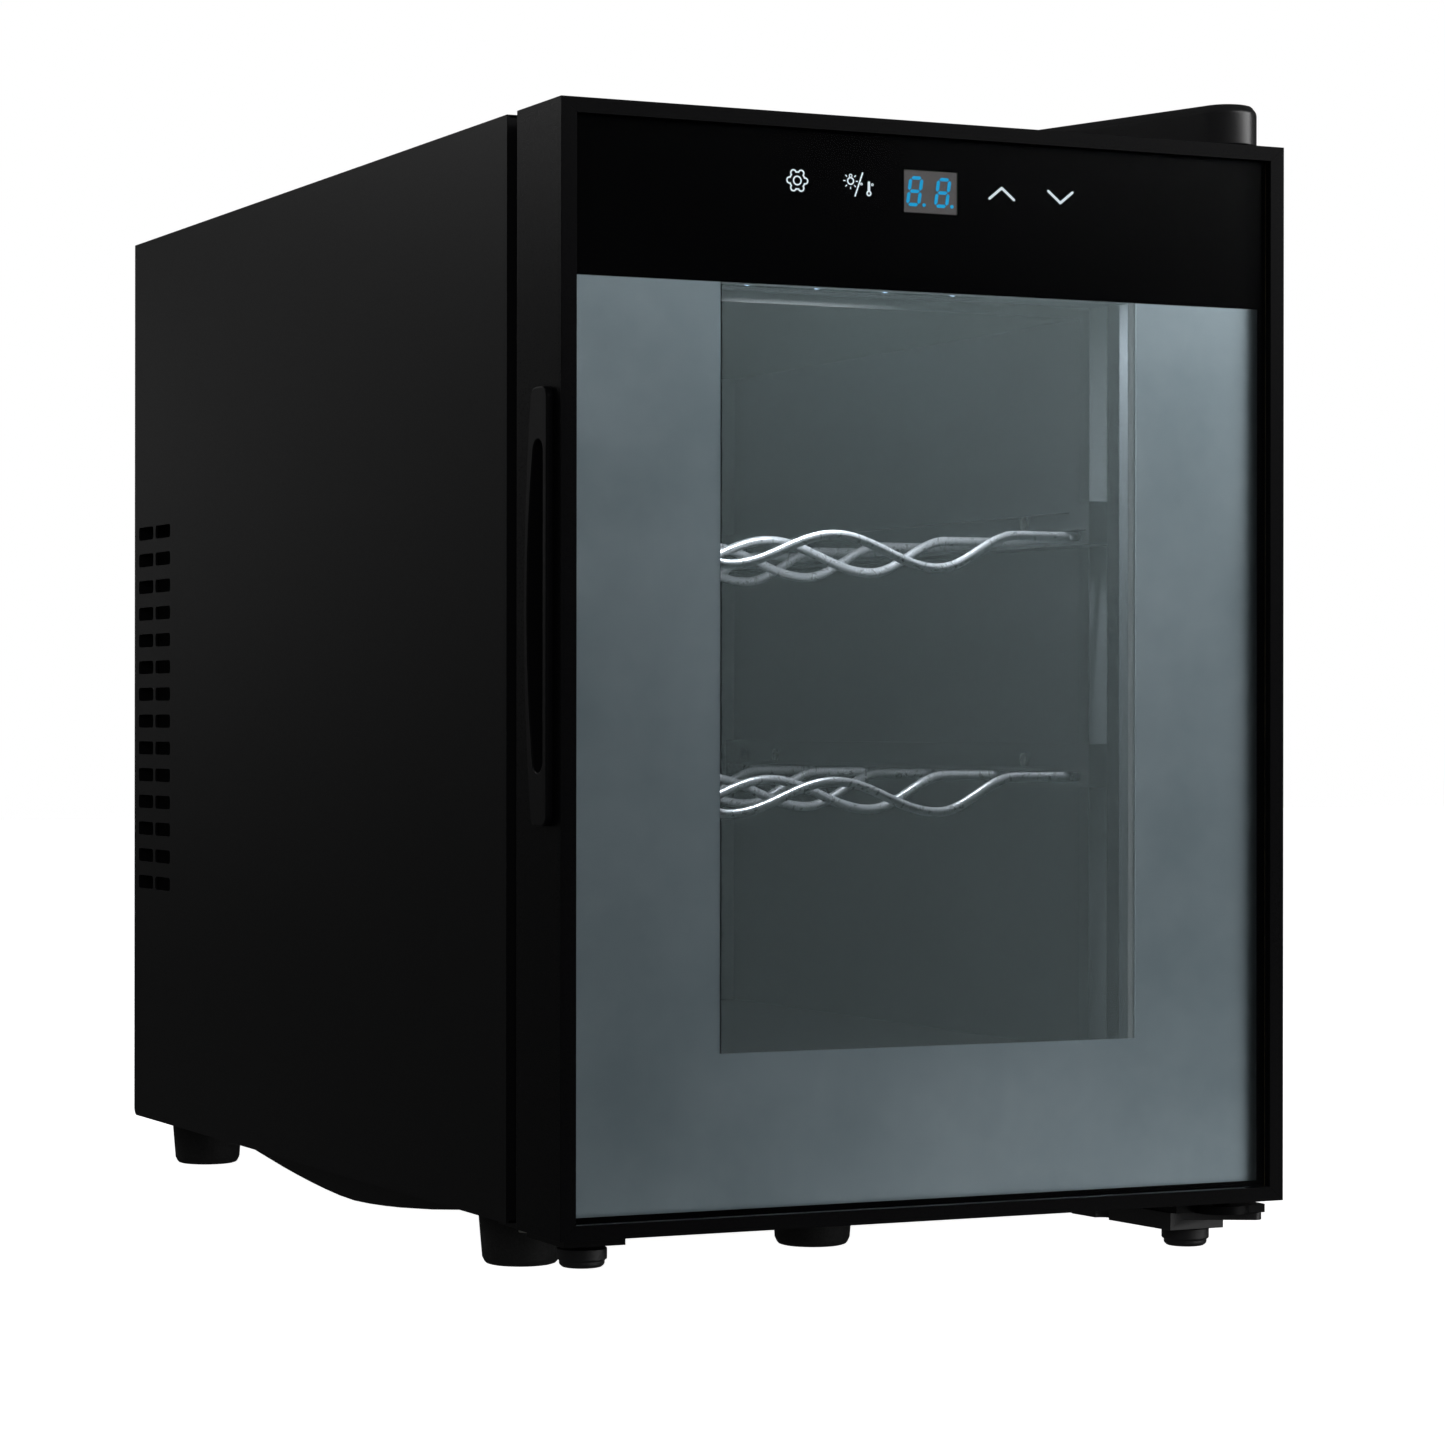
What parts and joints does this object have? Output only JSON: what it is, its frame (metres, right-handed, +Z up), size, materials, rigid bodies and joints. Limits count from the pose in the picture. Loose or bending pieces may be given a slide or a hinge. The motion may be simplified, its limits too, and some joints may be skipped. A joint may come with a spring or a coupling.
{
  "type": "wine cooler",
  "caption": "Compact free-standing thermoelectric wine cooler with a glass door, touch control band, wire bottle shelves and a side finger grip.",
  "frame": {"origin": "middle of the footprint on the floor the feet stand on", "axes": "+Z up, +Y towards the back, +X to the right seen from the front"},
  "size_m": [0.2786, 0.461, 0.403],
  "materials": {
    "shell_steel": "fine-grained satin black powder coat",
    "throat_plastic": "satin charcoal moulding",
    "liner_plastic": "satin black vacuum-formed sheet",
    "insulation": "rigid foam",
    "galvanised_steel": "galvanised",
    "zinc_steel": "zinc plated",
    "black_plastic": "textured black",
    "fan_plastic": "black glass-filled",
    "rail_plastic": "satin black moulding",
    "white_plastic": "plain",
    "alloy": "extruded",
    "module_ceramic": "alumina faces",
    "soft_rubber": "matt",
    "circuit_board": "solder mask",
    "lamp_white": "white lamp board",
    "lamp_diffuser": "frosted",
    "chrome_wire": "bright chrome plate",
    "hinge_plastic": "semi-gloss black",
    "frame_plastic": "satin black",
    "handle_plastic": "fine matt black",
    "door_glass": "smoked float glass",
    "clear_glass": "clear float glass",
    "black_print": "fired black print under glass",
    "grey_print": "fine-grained metallic grey print under glass",
    "display_grey": "dark display window",
    "display_blue": "lit cyan-blue bars",
    "symbol_silver": "thin silver print"
  },
  "bodies": {
    "cabinet": {"left_side_panel": "shell_steel", "right_side_panel": "shell_steel", "top_panel": "shell_steel", "base_pan": "shell_steel", "throat_frame": "throat_plastic", "inner_liner": "liner_plastic", "foam_insulation": "insulation", "rear_bulkhead": "galvanised_steel", "rear_cover": "black_plastic", "cover_screws": "zinc_steel", "cold_sink": "alloy", "inner_fan_cover": "liner_plastic", "inner_fan_frame": "fan_plastic", "thermoelectric_module": "module_ceramic", "module_gasket": "soft_rubber", "hot_sink": "alloy", "sink_screws": "zinc_steel", "rear_fan_frame": "fan_plastic", "fan_screws": "zinc_steel", "power_board": "circuit_board", "board_pillars": "black_plastic", "power_inlet": "black_plastic", "lamp_board": "lamp_white", "lamp_lens": "lamp_diffuser", "thermistor": "white_plastic", "upper_shelf_rails": "rail_plastic", "lower_shelf_rails": "rail_plastic", "rail_screws": "zinc_steel", "cabinet_feet": "soft_rubber", "foot_screws": "zinc_steel", "foot_bracket": "shell_steel", "upper_hinge_bracket": "zinc_steel", "upper_hinge_cover": "hinge_plastic", "lower_hinge_bracket": "shell_steel", "lower_hinge_cover": "hinge_plastic", "hinge_screws": "zinc_steel"},
    "door": {"frame_left_stile": "frame_plastic", "frame_right_stile": "frame_plastic", "frame_top_rail": "frame_plastic", "frame_bottom_rail": "frame_plastic", "outer_glass": "door_glass", "control_band": "black_print", "border_print": "grey_print", "glazing_spacer": "alloy", "inner_glass": "clear_glass", "door_foam": "insulation", "door_liner": "frame_plastic", "door_gasket": "soft_rubber", "hinge_bushes": "white_plastic", "handle_insert": "handle_plastic", "control_board": "circuit_board", "display_module": "display_grey", "display_digits": "display_blue", "touch_symbols": "symbol_silver"},
    "upper_shelf_body": {"upper_shelf": "chrome_wire"},
    "lower_shelf_body": {"lower_shelf": "chrome_wire"},
    "rear_fan_wheel": {"rear_fan_rotor": "fan_plastic"},
    "inner_fan_wheel": {"inner_fan_rotor": "fan_plastic"},
    "right_foot": {"right_levelling_foot": "black_plastic"},
    "left_foot": {"left_levelling_foot": "black_plastic"}
  },
  "joints": [
    {"name": "door_hinge", "type": "hinge", "parent": "cabinet", "child": "door", "pos_m": [0.12285, -0.2163, 0.203], "axis": [0, 0, 1], "range_deg": [0, 115]},
    {"name": "upper_shelf_slide", "type": "slide", "parent": "cabinet", "child": "upper_shelf_body", "axis": [0, -1, 0], "range_m": [0, 0.013]},
    {"name": "lower_shelf_slide", "type": "slide", "parent": "cabinet", "child": "lower_shelf_body", "axis": [0, -1, 0], "range_m": [0, 0.013]},
    {"name": "rear_fan_spin", "type": "hinge", "parent": "cabinet", "child": "rear_fan_wheel", "pos_m": [0.00135, 0.2095, 0.222], "axis": [0, 1, 0], "continuous": true},
    {"name": "inner_fan_spin", "type": "hinge", "parent": "cabinet", "child": "inner_fan_wheel", "pos_m": [0.00135, 0.1455, 0.222], "axis": [0, 1, 0], "continuous": true},
    {"name": "right_foot_screw", "type": "hinge", "parent": "cabinet", "child": "right_foot", "pos_m": [0.11835, -0.1995, 0.008], "axis": [0, 0, 1], "continuous": true},
    {"name": "left_foot_screw", "type": "hinge", "parent": "cabinet", "child": "left_foot", "pos_m": [-0.11565, -0.1995, 0.01], "axis": [0, 0, 1], "continuous": true}
  ]
}
